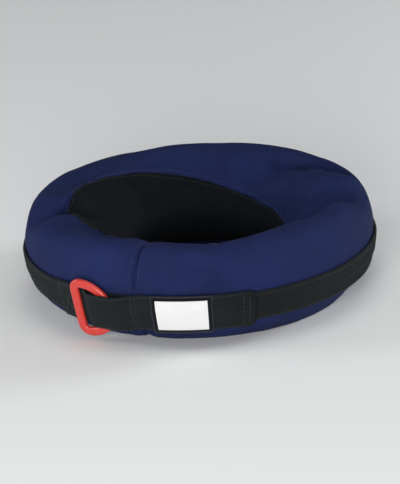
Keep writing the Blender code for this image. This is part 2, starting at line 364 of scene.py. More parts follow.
def moulded_red():
    finish = Finish("red_moulded_plastic", Specular_IOR_Level=0.5, Coat_Roughness=0.25)
    grain = finish.cloud(1500, 2, 0.5)
    flow = finish.cloud(24, 3, 0.55)
    stretched = finish.node("ShaderNodeMapping", {}, {"Vector": finish.place(), "Scale": (1.0, 1.0, 6.0)})
    scuffs = finish.ramp(finish.cloud(160, 5, 0.7, stretched), (0.60, 0.0), (0.72, 1.0))
    body = finish.mix(flow, (0.42, 0.022, 0.014, 1), (0.53, 0.037, 0.026, 1))
    return finish.feed(
        Base_Color=finish.mix(scuffs * 0.25, body, (0.72, 0.15, 0.12, 1)),
        Roughness=0.30 + grain * 0.10 + scuffs * 0.18,
        Coat_Weight=0.30 - scuffs * 0.2,
        Normal=finish.bump(grain, 0.00012, 0.5, finish.bump(flow, 0.0006, 0.25)),
    )


WEBBING = ribbed_webbing("charcoal_webbing", (0.0052, 0.0074, 0.0080, 1), (0.0110, 0.0150, 0.0160, 1))
EDGING = ribbed_webbing("black_edging", (0.0035, 0.0040, 0.0065, 1), (0.0075, 0.0085, 0.0125, 1), 0.0008)
GREY_THREAD = plain_thread("charcoal_thread", (0.012, 0.016, 0.018, 1), (0.034, 0.041, 0.044, 1))
NAVY_THREAD = plain_thread("navy_thread", (0.013, 0.019, 0.066, 1), (0.028, 0.040, 0.120, 1))
BLACK_THREAD = plain_thread("black_thread", (0.004, 0.005, 0.008, 1), (0.016, 0.018, 0.024, 1))
WHITE_THREAD = plain_thread("white_thread", (0.55, 0.55, 0.54, 1), (0.74, 0.74, 0.73, 1))
WHITE_CLOTH = white_patch_cloth()
RED = moulded_red()
print("finishes:", len([m for m in bpy.data.materials if m.use_nodes]))

# %% [markdown]
# The measured ring is a coarse grid of points. To sew on it, its points are read back as a table,
# column by column round the ring and row by row round the section. A copy of the node is merged
# first, because its triangles are loose. Each point of the cloth has a twin on its inner side, and
# only the one further from the middle of the tube is kept.

# %% Read the measured ring as a grid
band_low, band_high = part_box("perimeter_band")
AXIS = Vector(((band_low.x + band_high.x) / 2, (band_low.y + band_high.y) / 2, 0))
NECK_RADIUS = 0.066
WALL_ACROSS = 0.091
NECK_SHIFT = 0.007
COLUMNS = 76
CORE = (0.122, 0.047)  # the middle of the tube: distance from the axis, height


def merged_copy(node, name):
    """A new object with a copy of a node's mesh, its loose triangles joined."""
    item = bpy.data.objects.new(name, NODES[node].data.copy())
    bpy.context.scene.collection.objects.link(item)
    deselect()
    item.select_set(True)
    bpy.context.view_layer.objects.active = item
    bpy.ops.object.mode_set(mode="EDIT")
    bpy.ops.mesh.select_all(action="SELECT")
    bpy.ops.mesh.remove_doubles(threshold=1e-5)
    bpy.ops.mesh.customdata_custom_splitnormals_clear()
    bpy.ops.object.mode_set(mode="OBJECT")
    return item


def round_axis(point):
    """Angle from the front and distance from the axis, which leans to the right near the neck."""
    shift = 0.0
    for _ in range(4):
        x = point.x - AXIS.x - shift
        y = point.y - AXIS.y
        out = math.hypot(x, y)
        shift = NECK_SHIFT * (1 - (out - NECK_RADIUS) / WALL_ACROSS)
    return math.atan2(x, -y), out


def ring_columns(node, start):
    """The outer points of a ring node, as columns round the ring sorted round the section."""
    item = merged_copy(node, "reading")
    columns = [[] for _ in range(COLUMNS)]
    for vertex in item.data.vertices:
        angle, out = round_axis(vertex.co)
        columns[round(angle / (2 * math.pi) * COLUMNS) % COLUMNS].append((out, vertex.co.copy()))
    bpy.data.objects.remove(item)
    outer = []
    for column in columns:
        kept = []
        for out, point in column:
            others = (row for row in column if row[1] != point)
            twin_out, twin = min(others, key=lambda row: (row[1] - point).length)
            away = Vector((out - CORE[0], point.z - CORE[1]))
            if away.dot(Vector((out - twin_out, point.z - twin.z))) > 0:
                turn = math.degrees(math.atan2(away.y, away.x))
                kept.append(((turn + start) % 360, tuple(point)))
        outer.append([point for _, point in sorted(kept)])
    print(node, "rows", {len(column) for column in outer})
    return np.array(outer)


top = ring_columns("cover_top", 90)
wall = ring_columns("neck_wall", 0)
under = ring_columns("cover_bottom", 0)

# %% [markdown]
# The three cloths meet in three seams, so the tables join into one closed section. A smooth curve
# through the points then gives a fine grid with a cell about every three millimetres, small
# enough for the cloth to wrinkle.

# %% One fine grid for the whole tube
def smooth_along(points, places, wraps=False):
    """Points of the smooth curve through the given ones, at places counted in points."""
    count = len(points)
    found = []
    for place in places:
        index = math.floor(place)
        t = place - index
        if wraps:
            a, b, c, d = (points[(index + k) % count] for k in (-1, 0, 1, 2))
        else:
            a, b, c, d = (points[min(max(index + k, 0), count - 1)] for k in (-1, 0, 1, 2))
        square, cube = 2 * a - 5 * b + 4 * c - d, 3 * b - a - 3 * c + d
        found.append(0.5 * (2 * b + (c - a) * t + square * t**2 + cube * t**3))
    return np.array(found)


RIM_ROW = top.shape[1] - 1
UNDER_ROW = RIM_ROW + wall.shape[1] - 1
coarse = np.concatenate([
    (top[:, :1] + under[:, -1:]) / 2, top[:, 1:-1], (top[:, -1:] + wall[:, :1]) / 2,
    wall[:, 1:-1], (wall[:, -1:] + under[:, :1]) / 2, under[:, 1:-1],
], axis=1)
CELL = 0.0031
across_steps = np.linalg.norm(np.roll(coarse, -1, axis=1) - coarse, axis=2).mean(axis=0)
places = []
fine_row = {}
for index, length in enumerate(across_steps):
    fine_row[index] = len(places)
    parts = max(2, round(length / CELL))
    places += [index + k / parts for k in range(parts)]
ROWS = len(places)
SLIT_ANGLE = -23.5  # degrees from the front
CREST_RADIUS = 0.125  # from the axis to the crest of the tube
METRES = 2 * math.pi * CREST_RADIUS / COLUMNS  # width of a measured column there
slit = SLIT_ANGLE / 360 * COLUMNS
fine = [slit + side * gap / METRES for gap in (0.0006, 0.0014) for side in (-1, 1)] + [slit]
turns = [c / 4 for c in range(-COLUMNS * 2, COLUMNS * 2) if min(abs(c / 4 - f) for f in fine) > 0.1]
turns = sorted(turns + fine)
TURNS = len(turns)
turn_angle = np.array(turns) * 2 * math.pi / COLUMNS
grid = smooth_along(coarse, turns, True)
grid = smooth_along(grid.transpose(1, 0, 2), places, True).transpose(1, 0, 2)
RIM = fine_row[RIM_ROW]
UNDER = fine_row[UNDER_ROW]
print("tube grid", TURNS, "by", ROWS, "seams at rows 0,", RIM, "and", UNDER)

# %% [markdown]
# The rim seam isn't level: it lies higher on the slope at the left than at the right. The cloth
# could be cut again along a new line, but it is simpler to slide the points of the grid along
# the tube's own surface, because that moves the seam and keeps the form.

# %% Let the rim seam wander
row_steps = np.linalg.norm(np.roll(grid, -1, axis=1) - grid, axis=2).mean(axis=0)
girth = float(row_steps.sum())
row_place = np.concatenate([[0.0], np.cumsum(row_steps)[:-1]])
WANDER = 0.014  # further than in the measured model, as the picture shows it
WANDER_REACH = 0.052  # length of cloth on each side of the seam that slides with it


def wander(points):
    """Slides the cloth along itself, so that the rim seam lies higher at the left than at the right."""
    moved = points.copy()
    near = np.clip((row_place - row_place[RIM]) / WANDER_REACH, -1, 1)
    slide = WANDER * (0.5 + 0.5 * np.cos(math.pi * near))
    for column, angle in enumerate(turn_angle):
        wanted = row_place + slide * math.sin(angle)
        for axis in range(3):
            moved[column, :, axis] = np.interp(wanted, row_place, points[column, :, axis])
    return moved


grid = wander(grid)
print("seam moved by", WANDER * 1000, "mm at most")

# %% [markdown]
# The slit where the collar opens is closed at the front left, behind the strap. It and the
# seams are drawn in a little, and so is the cloth beside them, as thread pulls it. These points,
# those under the band and those that rest on the floor are then marked as held.

# %% Draw in the seams and hold them
rest = grid.copy()


def surface_normals(points):
    """Outward normals of the closed grid."""
    along = np.roll(points, -1, axis=0) - np.roll(points, 1, axis=0)
    across = np.roll(points, -1, axis=1) - np.roll(points, 1, axis=1)
    normal = np.cross(along, across)
    return normal / np.linalg.norm(normal, axis=2, keepdims=True)


def from_seam(row):
    """Distance of each row from a seam's row, along the cloth."""
    gap = np.abs(row_place - row_place[row])
    return np.minimum(gap, girth - gap)


BAND_HALF = 0.0145
slit_column = turns.index(slit)
turn_metres = np.abs(turn_angle - turn_angle[slit_column]) * CREST_RADIUS

drawn = np.zeros((TURNS, ROWS))
for row, depth, reach in ((RIM, 0.0020, 0.004), (UNDER, 0.0016, 0.004)):
    drawn += depth * np.exp(-(from_seam(row) / reach) ** 2)[None, :]
free = np.clip((from_seam(0) - BAND_HALF) / 0.008, 0, 1)
lips = 0.0035 * np.exp(-(turn_metres / 0.0011) ** 2) + 0.0018 * np.exp(-(turn_metres / 0.0060) ** 2)
drawn += lips[:, None] * free[None, :]
rest -= surface_normals(grid) * drawn[:, :, None]

hold = np.zeros((TURNS, ROWS))
hold[:, from_seam(0) < BAND_HALF + 0.001] = 1.0
hold[:, RIM] = hold[:, UNDER] = 1.0
hold[slit_column, :] = 1.0
hold[:, rest[:, :, 2].min(axis=0) < 0.0004] = 1.0
print("held points:", int(hold.sum()), "of", hold.size)

# %% [markdown]
# Air presses the cover out until the cloth is tight. Wrinkles from that are hard to draw by hand,
# so Blender's cloth is run with pressure inside the tube. The cloth is cut slightly larger than
# its place, and that spare length gives the wrinkles along the held seams. How far a point may
# move is capped, least beside the band, so that the collar keeps its measured size.

# %% Blow up the cloth
swell = 0.0008 + 0.0040 * np.clip((from_seam(0) - BAND_HALF) / 0.035, 0, 1) ** 1.5


def ring_mesh(name, points):
    """A closed tube of square cells through the table of points, its faces outward."""
    faces = []
    for column in range(TURNS):
        after = (column + 1) % TURNS
        for row in range(ROWS):
            above = (row + 1) % ROWS
            faces.append((column * ROWS + row, after * ROWS + row, after * ROWS + above, column * ROWS + above))
    mesh = bpy.data.meshes.new(name)
    mesh.from_pydata(points.reshape(-1, 3).tolist(), [], faces)
    item = bpy.data.objects.new(name, mesh)
    bpy.context.scene.collection.objects.link(item)
    print(name, len(mesh.vertices), "points")
    return item


def inflate(item, start, held):
    """Runs the cloth under air pressure from frame 1 to 20 and returns its capped points."""
    group = item.vertex_groups.new(name="held")
    flat = held.reshape(-1)
    group.add([int(i) for i in np.nonzero(flat > 0)[0]], 1.0, "REPLACE")
    cloth = item.modifiers.new("cloth", "CLOTH")
    setting = cloth.settings
    setting.quality = 6
    setting.mass = 0.25
    setting.tension_stiffness = 22
    setting.compression_stiffness = 22
    setting.shear_stiffness = 8
    setting.bending_stiffness = 0.35
    setting.shrink_min = -0.035
    setting.use_pressure = True
    setting.uniform_pressure_force = 4
    setting.effector_weights.gravity = 0
    setting.vertex_group_mass = "held"
    scene = bpy.context.scene
    for number in range(1, 21):
        scene.frame_set(number)
    bpy.context.view_layer.objects.active = item
    bpy.ops.object.modifier_apply(modifier="cloth")
    scene.frame_set(1)
    found = np.empty(start.size)
    item.data.vertices.foreach_get("co", found)
    moved = found.reshape(start.shape) - start
    for axis in (0, 1, 0, 1):  # evens out single cells that buckled
        moved = moved * 0.5 + (np.roll(moved, 1, axis) + np.roll(moved, -1, axis)) * 0.25
    moved *= (held < 0.5)[:, :, None]
    length = np.linalg.norm(moved, axis=2, keepdims=True)
    mean, most = (round(float(value) * 1000, 2) for value in (length.mean(), length.max()))
    print("moved", mean, "mm on average,", most, "at most")
    return start + moved * np.minimum(1.0, swell[None, :, None] / np.maximum(length, 1e-9))


cover = ring_mesh("cover", rest)
deselect()
cover.select_set(True)
blown = inflate(cover, rest, hold)

# %% [markdown]
# A collar that has been folded away keeps a few broad folds when it is blown up. The deep ones
# are in the measured model. Here each is made crisper where the picture shows it: a fold is a
# soft dent across the tube, and a crease follows a crooked line that is laid on the cloth.

# %% Lay the broad folds
FOLDS = [  # degrees from the front, reach in degrees, metres from the band's middle, reach in metres, height
    (78, 15, 0.090, 0.044, -0.0044),
    (-87, 6, 0.080, 0.042, -0.0034), (-99, 7, 0.092, 0.036, 0.0020),
    (6, 5, 0.036, 0.026, -0.0020), (21, 6, 0.040, 0.026, -0.0012), (-36, 6, 0.036, 0.024, -0.0014),
    (48, 7, 0.095, 0.034, -0.0020), (168, 9, 0.084, 0.040, -0.0024),
    (-62, 8, 0.242, 0.034, -0.0016), (70, 10, 0.240, 0.034, -0.0018), (-165, 9, 0.240, 0.034, -0.0016),
]
CREASES = [  # height, half width, and the run as degrees from the front and metres from the band's middle
    (0.0048, 0.011, [
        (146, 0.102), (134, 0.094), (124, 0.087), (112, 0.084), (101, 0.081), (94, 0.072), (95, 0.060),
    ]),
    (-0.0060, 0.010, [(142, 0.081), (132, 0.075), (124, 0.070), (112, 0.068), (104, 0.064)]),
    (0.0028, 0.009, [(-88, 0.066), (-94, 0.086), (-101, 0.100), (-110, 0.108)]),
]
DEGREE = 0.002  # metres round the collar to a degree, near the crest


def hump(distance):
    """Falls softly from 1 at no distance to 0 at a distance of 1."""
    return np.cos(np.clip(distance, 0, 1) * math.pi / 2) ** 2


def from_run(run):
    """Distance of each point of the grid from a crooked line laid on the cloth."""
    spot = np.stack(np.broadcast_arrays(np.degrees(turn_angle)[:, None] * DEGREE, row_place[None, :]), axis=2)
    nearest = np.full((TURNS, ROWS), 1.0)
    for start, end in zip(run, run[1:]):
        a = np.array((start[0] * DEGREE, start[1]))
        step = np.array((end[0] * DEGREE, end[1])) - a
        share = np.clip(((spot - a) @ step) / (step @ step), 0, 1)
        nearest = np.minimum(nearest, np.linalg.norm(spot - a - share[:, :, None] * step, axis=2))
    return nearest


def fold(points):
    """Lays broad soft folds across the cover, each with a slightly crooked run."""
    lift = np.zeros((TURNS, ROWS))
    degrees = np.degrees(turn_angle)[:, None]
    bend = np.array([noise.noise(Vector((place * 26, 4.0, 0.0))) for place in row_place])[None, :] * 7
    for middle, reach, place, far, height in FOLDS:
        turn = np.abs((degrees - middle + bend * reach / 8 + 180) % 360 - 180) / reach
        along = np.abs(row_place[None, :] - place) / far
        lift += height * hump(turn) * hump(along)
    for height, half, run in CREASES:
        lift += height * hump(from_run(run) / half)
    points = points + surface_normals(points) * (lift * free[None, :])[:, :, None]
    ceiling = CAD_HIGH[2] - 0.0015  # above it a fold rises less, to keep the measured height
    height = points[:, :, 2]
    points[:, :, 2] = np.where(height > ceiling, ceiling + (height - ceiling) * 0.45, np.maximum(height, 0.0))
    return points


folded = fold(blown)
print("folds:", len(FOLDS), "creases:", len(CREASES))

# %% [markdown]
# Cloth that is gathered into a seam also has fine puckers, shorter than a cell of the pressure
# run can hold for sure. They are added as small waves that run across each seam and die out.

# %% Puckers along the seams
def puckers(points):
    normals = surface_normals(points)
    lift = np.zeros((TURNS, ROWS))
    for row, depth, reach, start in ((RIM, 0.0011, 0.013, 3.0), (UNDER, 0.0010, 0.012, 9.0)):
        fade = np.exp(-from_seam(row) / reach) * np.clip(from_seam(row) / 0.004, 0.15, 1)
        for column, angle in enumerate(turn_angle):
            spot = Vector((math.cos(angle) * 6.5, math.sin(angle) * 6.5, start))
            lift[column] += fade * depth * noise.noise(spot * 1.7) * 1.6
    edge = from_seam(0) - BAND_HALF
    fade = np.where(edge > 0, np.exp(-np.clip(edge, 0, 1) / 0.012) * np.clip(edge / 0.004, 0, 1), 0)
    above = np.arange(ROWS) < ROWS // 2
    for column, angle in enumerate(turn_angle):
        spot = Vector((math.cos(angle) * 9.0, math.sin(angle) * 9.0, 20.0)) * 1.6
        wave = np.where(above, noise.noise(spot), noise.noise(spot + Vector((7, 3, 1))))
        lift[column] += fade * 0.0012 * wave * 1.5
    points = points + normals * lift[:, :, None]
    points[:, :, 2] = np.maximum(points[:, :, 2], 0.0)
    return points


skin = puckers(folded)
skin_normals = surface_normals(skin)
cover.data.vertices.foreach_set("co", skin.reshape(-1))
cover.data.update()
print("skin box", skin.min(axis=(0, 1)).round(4), skin.max(axis=(0, 1)).round(4))

# %% [markdown]
# The weave has to lie on each panel as it was cut. The two navy panels are flat rings of cloth,
# so their map is the panel unrolled from its crest, and the threads stay straight. The neck wall
# is a long strip, so its map runs round and down.

# %% Map the weave
def weave_map(item, place_of):
    """Gives each corner of each face its place on the cloth, in metres."""
    while item.data.uv_layers:
        item.data.uv_layers.remove(item.data.uv_layers[0])
    layer = item.data.uv_layers.new(name="weave")
    for face in item.data.polygons:
        for loop in face.loop_indices:
            layer.data[loop].uv = place_of(face, item.data.loops[loop].vertex_index)


NECK_WALL_RADIUS = 0.078
mean_out = np.linalg.norm(skin[:, :, :2] - np.array(AXIS[:2]), axis=2).mean(axis=0)
crest = int(skin[:, :, 2].mean(axis=0).argmax())
lowest = int((row_place[UNDER] + row_place[-1]) / 2 / girth * ROWS)


def cloth_spot(face, vertex):
    column, row = divmod(vertex, ROWS)
    first = face.vertices[0] // ROWS
    if abs(column - first) > 1:
        column += TURNS if column < first else -TURNS
    first_row = face.vertices[0] % ROWS
    if abs(row - first_row) > 1:
        row += ROWS if row < first_row else -ROWS
    angle = turn_angle[column % TURNS] + 2 * math.pi * (column // TURNS)
    along = row_place[row] if 0 <= row < ROWS else girth if row >= ROWS else row_place[row % ROWS] - girth
    panel = min(v % ROWS for v in face.vertices)
    if abs(face.vertices[0] % ROWS - face.vertices[2] % ROWS) > 1:
        panel = ROWS - 1
    if RIM <= panel < UNDER:
        return angle * NECK_WALL_RADIUS, along
    middle = crest if panel < RIM else lowest
    out = mean_out[middle] + (row_place[middle] - along) * (1 if panel < RIM else -1)
    return out * math.sin(angle), out * math.cos(angle)


weave_map(cover, cloth_spot)
print("weave mapped on", len(cover.data.polygons), "faces")

# %% [markdown]
# The tube is cut along its seams into the three panels, and each gets the thickness of cloth
# with its air chamber behind it. Solidify adds the inner side and closes the cut edges.

# %% Cut the panels and give them thickness
def own_piece(item, node, body="root", replaces=True):
    """Lets a finished piece ride on its body and stand for its node."""
    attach(item, body)
    if replaces:
        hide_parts(node)
    return item


def take_faces(item, name, wanted):
    """Cuts the faces that pass the test off an object, as a piece of their own."""
    deselect()
    bpy.context.view_layer.objects.active = item
    item.select_set(True)
    bpy.ops.object.mode_set(mode="EDIT")
    bpy.ops.mesh.select_mode(type="FACE")
    bpy.ops.mesh.select_all(action="DESELECT")
    bpy.ops.object.mode_set(mode="OBJECT")
    for face in item.data.polygons:
        face.select = wanted(face)
    bpy.ops.object.mode_set(mode="EDIT")
    bpy.ops.mesh.separate(type="SELECTED")
    bpy.ops.object.mode_set(mode="OBJECT")
    piece = next(other for other in bpy.context.selected_objects if other != item)
    piece.name = name
    return piece


def face_row(face):
    rows = [vertex % ROWS for vertex in face.vertices]
    return ROWS - 1 if max(rows) - min(rows) > 1 else min(rows)


TOP, NECK, BOTTOM = 0, 1, 2
panels = [TOP if row < RIM else NECK if row < UNDER else BOTTOM for row in map(face_row, cover.data.polygons)]
marks = cover.data.attributes.new("panel", "INT", "FACE")
marks.data.foreach_set("value", panels)


def in_panel(number):
    def test(face):
        return bpy.context.view_layer.objects.active.data.attributes["panel"].data[face.index].value == number
    return test


neck_piece = take_faces(cover, "neck_wall_cloth", in_panel(NECK))
bottom_piece = take_faces(cover, "cover_bottom_cloth", in_panel(BOTTOM))
top_piece = cover
top_piece.name = "cover_top_cloth"
CLOTH = 0.0014


def finish_panel(item, material, node):
    item.data.materials.clear()
    item.data.materials.append(material)
    item.data.attributes.remove(item.data.attributes["panel"])
    for face in item.data.polygons:
        face.material_index = 0
        face.use_smooth = True
    item.vertex_groups.clear()
    deselect()
    item.select_set(True)
    bpy.context.view_layer.objects.active = item
    wall_made = item.modifiers.new("wall", "SOLIDIFY")
    wall_made.thickness = CLOTH
    wall_made.offset = -1
    wall_made.use_even_offset = False
    bpy.ops.object.modifier_apply(modifier="wall")
    own_piece(item, node)
    print(item.name, len(item.data.polygons), "faces")


finish_panel(top_piece, NAVY, "cover_top")
finish_panel(neck_piece, CHARCOAL, "neck_wall")
finish_panel(bottom_piece, NAVY, "cover_bottom")

# %% [markdown]
# The strap, the band and the label are strips. Each measured strip is read as two tables of
# points, its face and its back, in columns along its length. A strip of webbing is then drawn
# through them with a section of its own: rounded edges and fine cords.

# %% Read the measured strips
def smooth_line(points, count):
    """The points themselves, or as many even points on the straight line between two."""
    if len(points) == count:
        return points
    return np.array([points[0] + (points[-1] - points[0]) * k / (count - 1) for k in range(count)])


def strip_tables(node, wraps=False):
    """Face and back of a strip, as columns along its length, each from its lower to its upper edge."""
    item = merged_copy(node, "reading")
    rows = []
    for vertex in item.data.vertices:
        x, y = vertex.co.x - AXIS.x, vertex.co.y - AXIS.y
        rows.append((math.degrees(math.atan2(x, -y)), vertex.co.z, math.hypot(x, y), tuple(vertex.co)))
    bpy.data.objects.remove(item)
    rows.sort()
    columns = [[rows[0]]]
    for row in rows[1:]:
        if row[0] - columns[-1][-1][0] > 0.2:
            columns.append([])
        columns[-1].append(row)
    if wraps and columns[0][0][0] + 360 - columns[-1][-1][0] < 0.2:
        columns[0] = columns.pop() + columns[0]
    face, back = [], []
    most = max(len(column) for column in columns) // 2
    for column in columns:
        column.sort(key=lambda row: row[1])
        pairs = [sorted(column[k:k + 2], key=lambda row: row[2]) for k in range(0, len(column), 2)]
        for side, table in ((0, back), (1, face)):
            points = np.array([pair[side][3] for pair in pairs])
            # where the strip is straight across, only the points at its two edges are there
            table.append(smooth_line(points, most))
    print(node, len(columns), "columns of", most, "points")
    return np.array(face), np.array(back)


strap_face, strap_back = strip_tables("closure_strap")
backing_face, backing_back = strip_tables("label_backing")
patch_face, patch_back = strip_tables("label_patch")
band_face, band_back = strip_tables("perimeter_band", True)

# %% [markdown]
# Webbing could be a flat sheet with a thickness, but then its edges are sharp and it has no
# cords. So the section is written as an outline, and carried along the strip through the tables.
# The measured columns are a few millimetres apart, so a smooth curve fills in between them.

# %% Draw a strip through the tables
def even_places(table, step):
    """Places along a strip about every step, counted in its columns, with the length at each."""
    middle = table[:, table.shape[1] // 2]
    steps = np.linalg.norm(middle[1:] - middle[:-1], axis=1)
    length = np.concatenate([[0], np.cumsum(steps)])
    wanted = np.linspace(0, length[-1], max(2, math.ceil(length[-1] / step) + 1))
    return np.interp(wanted, length, np.arange(len(length))), wanted


def webbing_outline(width, rib, depth, edge=0.10, welt=0.0):
    """Round the section: (share across, share of thickness), the face with cords and the back plain."""
    cords = round(width / rib)
    found = []
    for index in range(cords * 2 + 1):
        share = index / (cords * 2)
        inset = edge / 2 + share * (1 - edge)
        raised = welt if abs(share - 0.5) < 0.6 / cords else 0.0
        found.append((inset, 1.0 + raised - (depth if index % 2 == 0 else 0.0)))
    found += [(1 - edge * 0.18, 0.80), (1.0, 0.5), (1 - edge * 0.18, 0.20)]
    found += [(1 - edge / 2 - share * (1 - edge), 0.0) for share in (0, 0.2, 0.4, 0.6, 0.8, 1.0)]
    found += [(edge * 0.18, 0.20), (0.0, 0.5), (edge * 0.18, 0.80)]
    return found


def plain_outline(edge=0.05, parts=14):
    found = [(edge / 2 + (1 - edge) * k / parts, 1.0) for k in range(parts + 1)]
    found += [(1 - edge * 0.15, 0.82), (1.0, 0.5), (1 - edge * 0.15, 0.18)]
    found += [(1 - edge / 2 - (1 - edge) * k / 5, 0.0) for k in range(6)]
    found += [(edge * 0.15, 0.18), (0.0, 0.5), (edge * 0.15, 0.82)]
    return found


def draw_strip(name, face, back, outline, step, material, hem=0.0):
    """A closed strip whose section is carried along the tables, started as a flat grid."""
    places, lengths = even_places(face, step)
    faces = smooth_along(face, places)
    backs = smooth_along(back, places)
    count = face.shape[1] - 1
    shares = [share * count for share, _ in outline]
    front_points = smooth_along(faces.transpose(1, 0, 2), shares)
    back_points = smooth_along(backs.transpose(1, 0, 2), shares)
    thick = np.array([t for _, t in outline])[:, None, None]
    points = back_points + (front_points - back_points) * thick
    if hem:
        outward = front_points - back_points
        outward /= np.linalg.norm(outward, axis=2, keepdims=True)
        doubled = np.clip((lengths - (lengths[-1] - hem)) / 0.0015, 0, 1)[None, :, None]
        points = points + outward * doubled * (thick > 0.6) * 0.0008
    around, along = len(outline), len(places)
    deselect()
    bpy.ops.mesh.primitive_grid_add(x_subdivisions=around, y_subdivisions=along - 1, size=1, location=(0, 0, 0))
    item = bpy.context.object
    item.name = name
    closed = np.concatenate([points, points[:1]], axis=0)
    item.data.vertices.foreach_set("co", closed.transpose(1, 0, 2).reshape(-1))
    width = float(np.linalg.norm(face[0, -1] - face[0, 0]))
    weave_map(item, lambda f, v: (lengths[v // (around + 1)], (v % (around + 1)) / around * 2 * width))
    bpy.ops.object.mode_set(mode="EDIT")
    bpy.ops.mesh.select_all(action="SELECT")
    bpy.ops.mesh.remove_doubles(threshold=1e-6)
    bpy.ops.mesh.select_all(action="DESELECT")
    bpy.ops.mesh.select_mode(type="EDGE")
    bpy.ops.mesh.select_non_manifold()
    bpy.ops.mesh.fill_holes(sides=0)
    bpy.ops.mesh.select_all(action="SELECT")
    bpy.ops.mesh.normals_make_consistent(inside=False)
    bpy.ops.object.mode_set(mode="OBJECT")
    bpy.ops.object.shade_smooth_by_angle(angle=math.radians(50))
    item.data.materials.append(material)
    print(name, len(item.data.polygons), "faces")
    return item


strap = draw_strip(
    "closure_strap_webbing", strap_face, strap_back, webbing_outline(0.036, 0.0015, 0.18), 0.0016, WEBBING, hem=0.013
)
own_piece(strap, "closure_strap")
backing = draw_strip("label_backing_cloth", backing_face, backing_back, plain_outline(0.06), 0.0022, EDGING)
own_piece(backing, "label_backing")
patch = draw_strip("label_patch_cloth", patch_face, patch_back, plain_outline(0.05), 0.0022, WHITE_CLOTH)
own_piece(patch, "label_patch")

# %% [markdown]
# The band round the outside is one long webbing. Its section is drawn once and spun round the
# axis of the collar, which gives a perfect ring without a join.

# %% Spin the band
BAND_RADIUS = 0.158


def spin_band():
    face, back = band_face[0], band_back[0]
    outline = webbing_outline(0.029, 0.0015, 0.16, 0.09, welt=0.16)
    points = []
    for share, t in outline:
        front = smooth_along(face, [share * (len(face) - 1)])[0]
        behind = smooth_along(back, [share * (len(back) - 1)])[0]
        points.append(behind + (front - behind) * t)
    deselect()
    bpy.ops.mesh.primitive_circle_add(vertices=len(points), radius=0.01, location=(0, 0, 0))
    item = bpy.context.object
    item.name = "perimeter_band_webbing"
    angle = math.atan2(face[0][0] - AXIS.x, -(face[0][1] - AXIS.y))
    for vertex, point in zip(item.data.vertices, points):
        vertex.co = Vector(point)
    bpy.ops.object.mode_set(mode="EDIT")
    bpy.ops.mesh.select_all(action="SELECT")
    bpy.ops.mesh.spin(steps=360, angle=2 * math.pi, center=AXIS, axis=(0, 0, 1))
    bpy.ops.mesh.select_all(action="SELECT")
    bpy.ops.mesh.remove_doubles(threshold=2e-5)
    bpy.ops.mesh.normals_make_consistent(inside=False)
    bpy.ops.object.mode_set(mode="OBJECT")
    bpy.ops.object.shade_smooth_by_angle(angle=math.radians(50))

    def spot(face, vertex):
        here = item.data.vertices[vertex].co
        centre = math.atan2(face.center.x - AXIS.x, -(face.center.y - AXIS.y))
        turn = math.atan2(here.x - AXIS.x, -(here.y - AXIS.y)) - centre
        turn = (turn + math.pi) % (2 * math.pi) - math.pi
        return (centre + turn) * BAND_RADIUS, here.z

    weave_map(item, spot)
    item.data.materials.append(WEBBING)
    print("band", len(item.data.polygons), "faces, seam at", round(math.degrees(angle), 1))
    return item


band = spin_band()
own_piece(band, "perimeter_band")

# %% [markdown]
# The ring is moulded plastic. The measured one is already a cage of the right shape, so a merged
# copy of it, rounded by a Subdivision Surface, gives the soft edges that a mould leaves.

# %% Round the plastic ring
def rounded_ring():
    item = merged_copy("d_ring", "d_ring_moulded")
    bpy.ops.object.mode_set(mode="EDIT")
    bpy.ops.mesh.select_all(action="SELECT")
    bpy.ops.mesh.tris_convert_to_quads(face_threshold=math.radians(60), shape_threshold=math.radians(80))
    bpy.ops.mesh.normals_make_consistent(inside=False)
    bpy.ops.object.mode_set(mode="OBJECT")
    rounder = item.modifiers.new("round", "SUBSURF")
    rounder.levels = rounder.render_levels = 2
    bpy.ops.object.modifier_apply(modifier="round")
    bpy.ops.object.shade_smooth()
    item.data.materials.clear()
    item.data.materials.append(RED)
    print("ring", len(item.data.polygons), "faces")
    return item


ring = rounded_ring()
own_piece(ring, "d_ring")

# %% [markdown]
# Everything is sewn with thick thread. One stitch is modelled once: a short rod with two more
# rings cut into it, bent so that its ends dip into the cloth. It is then copied along each seam.

# %% Model one stitch
def one_stitch():
    """A stitch one unit long and one thick, as its points and faces."""
    deselect()
    bpy.ops.mesh.primitive_cylinder_add(
        vertices=6, radius=0.5, depth=1.0, location=(0, 0, 0), rotation=(0, math.pi / 2, 0)
    )
    item = bpy.context.object
    bpy.ops.object.transform_apply(location=False, rotation=True, scale=False)
    bpy.ops.object.mode_set(mode="EDIT")
    for cut in (-0.3, 0.3):
        bpy.ops.mesh.select_all(action="SELECT")
        bpy.ops.mesh.bisect(plane_co=(cut, 0, 0), plane_no=(1, 0, 0))
    bpy.ops.object.mode_set(mode="OBJECT")
    points = []
    for vertex in item.data.vertices:
        end = max(0.0, abs(vertex.co.x) - 0.3) / 0.2
        thin = 1 - 0.45 * end
        points.append((vertex.co.x, vertex.co.y * thin, vertex.co.z * thin + 0.15 - 0.75 * end))
    faces = [tuple(face.vertices) for face in item.data.polygons]
    bpy.data.objects.remove(item)
    return np.array(points), faces


STITCH, STITCH_FACES = one_stitch()
print("one stitch:", len(STITCH_FACES), "faces")


# %% [markdown]
# A seam is a line of points on the cloth with the cloth's outward direction at each. The line is
# measured along its length, and a stitch is laid at every even step, turned along the line.

